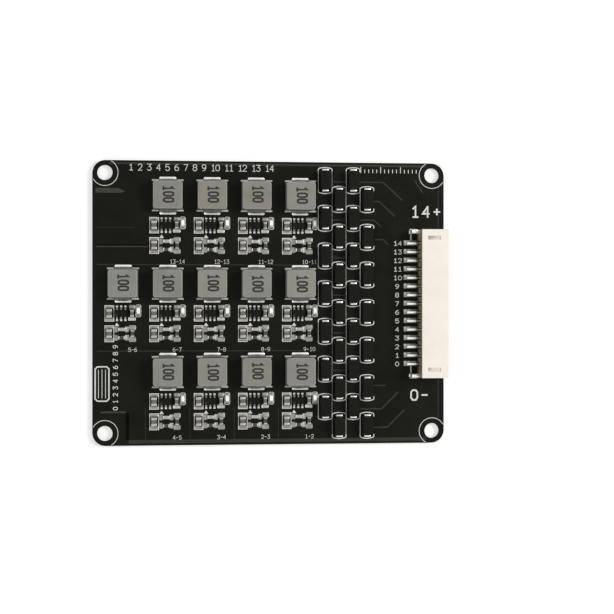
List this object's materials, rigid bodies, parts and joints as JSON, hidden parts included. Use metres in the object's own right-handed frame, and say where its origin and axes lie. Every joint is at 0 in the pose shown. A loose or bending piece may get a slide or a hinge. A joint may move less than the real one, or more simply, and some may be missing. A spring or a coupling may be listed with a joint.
{
  "type": "active balancer board",
  "caption": "Flat rectangular circuit board with rows of moulded inductors, small converter chips, staggered diodes, a side-entry header at one edge and a screw hole at each corner.",
  "frame": {"origin": "centre of the screw-hole pattern, on the board's back face", "axes": "+X towards the header's edge, +Y towards the upper row of inductors, +Z out of the component side"},
  "size_m": [0.081, 0.065, 0.0065],
  "materials": {
    "solder_mask": "black solder mask over copper, white legend",
    "legend_ink": "white printed legend on the solder mask",
    "moulded_iron_powder": "matt grey moulding with fine speckle",
    "black_epoxy": "satin black moulding",
    "tinned_copper": "bright tin plate",
    "chip_ceramic": "tan fired ceramic with tinned ends",
    "resistor_chip": "black glazed top with tinned ends",
    "led_lens": "milky clear lens on a white base",
    "ivory_nylon": "satin ivory moulding"
  },
  "bodies": {
    "root": {"balancer_ic_01": "black_epoxy", "balancer_ic_02": "black_epoxy", "balancer_ic_03": "black_epoxy", "balancer_ic_04": "black_epoxy", "balancer_ic_05": "black_epoxy", "balancer_ic_06": "black_epoxy", "balancer_ic_07": "black_epoxy", "balancer_ic_08": "black_epoxy", "balancer_ic_09": "black_epoxy", "balancer_ic_10": "black_epoxy", "balancer_ic_11": "black_epoxy", "balancer_ic_12": "black_epoxy", "balancer_ic_13": "black_epoxy", "balancer_ic_leads_lower_row": "tinned_copper", "balancer_ic_leads_middle_row": "tinned_copper", "balancer_ic_leads_upper_row": "tinned_copper", "bulk_capacitors_lower_row": "chip_ceramic", "bulk_capacitors_middle_row": "chip_ceramic", "bulk_capacitors_upper_row": "chip_ceramic", "circuit_board": "solder_mask", "diode_bodies_column_1": "black_epoxy", "diode_bodies_column_2": "black_epoxy", "diode_bodies_column_3": "black_epoxy", "diode_bodies_column_4": "black_epoxy", "diode_leads_column_1": "tinned_copper", "diode_leads_column_2": "tinned_copper", "diode_leads_column_3": "tinned_copper", "diode_leads_column_4": "tinned_copper", "header_contacts": "tinned_copper", "header_hold_downs": "tinned_copper", "header_housing": "ivory_nylon", "indicator_leds_lower_row": "led_lens", "indicator_leds_middle_row": "led_lens", "indicator_leds_upper_row": "led_lens", "inductor_01": "moulded_iron_powder", "inductor_02": "moulded_iron_powder", "inductor_03": "moulded_iron_powder", "inductor_04": "moulded_iron_powder", "inductor_05": "moulded_iron_powder", "inductor_06": "moulded_iron_powder", "inductor_07": "moulded_iron_powder", "inductor_08": "moulded_iron_powder", "inductor_09": "moulded_iron_powder", "inductor_10": "moulded_iron_powder", "inductor_11": "moulded_iron_powder", "inductor_12": "moulded_iron_powder", "inductor_13": "moulded_iron_powder", "inductor_terminals_lower_row": "tinned_copper", "inductor_terminals_middle_row": "tinned_copper", "inductor_terminals_upper_row": "tinned_copper", "resistors_lower_row": "resistor_chip", "resistors_middle_row": "resistor_chip", "resistors_upper_row": "resistor_chip", "small_capacitors_lower_row": "chip_ceramic", "small_capacitors_middle_row": "chip_ceramic", "small_capacitors_upper_row": "chip_ceramic"}
  },
  "joints": []
}
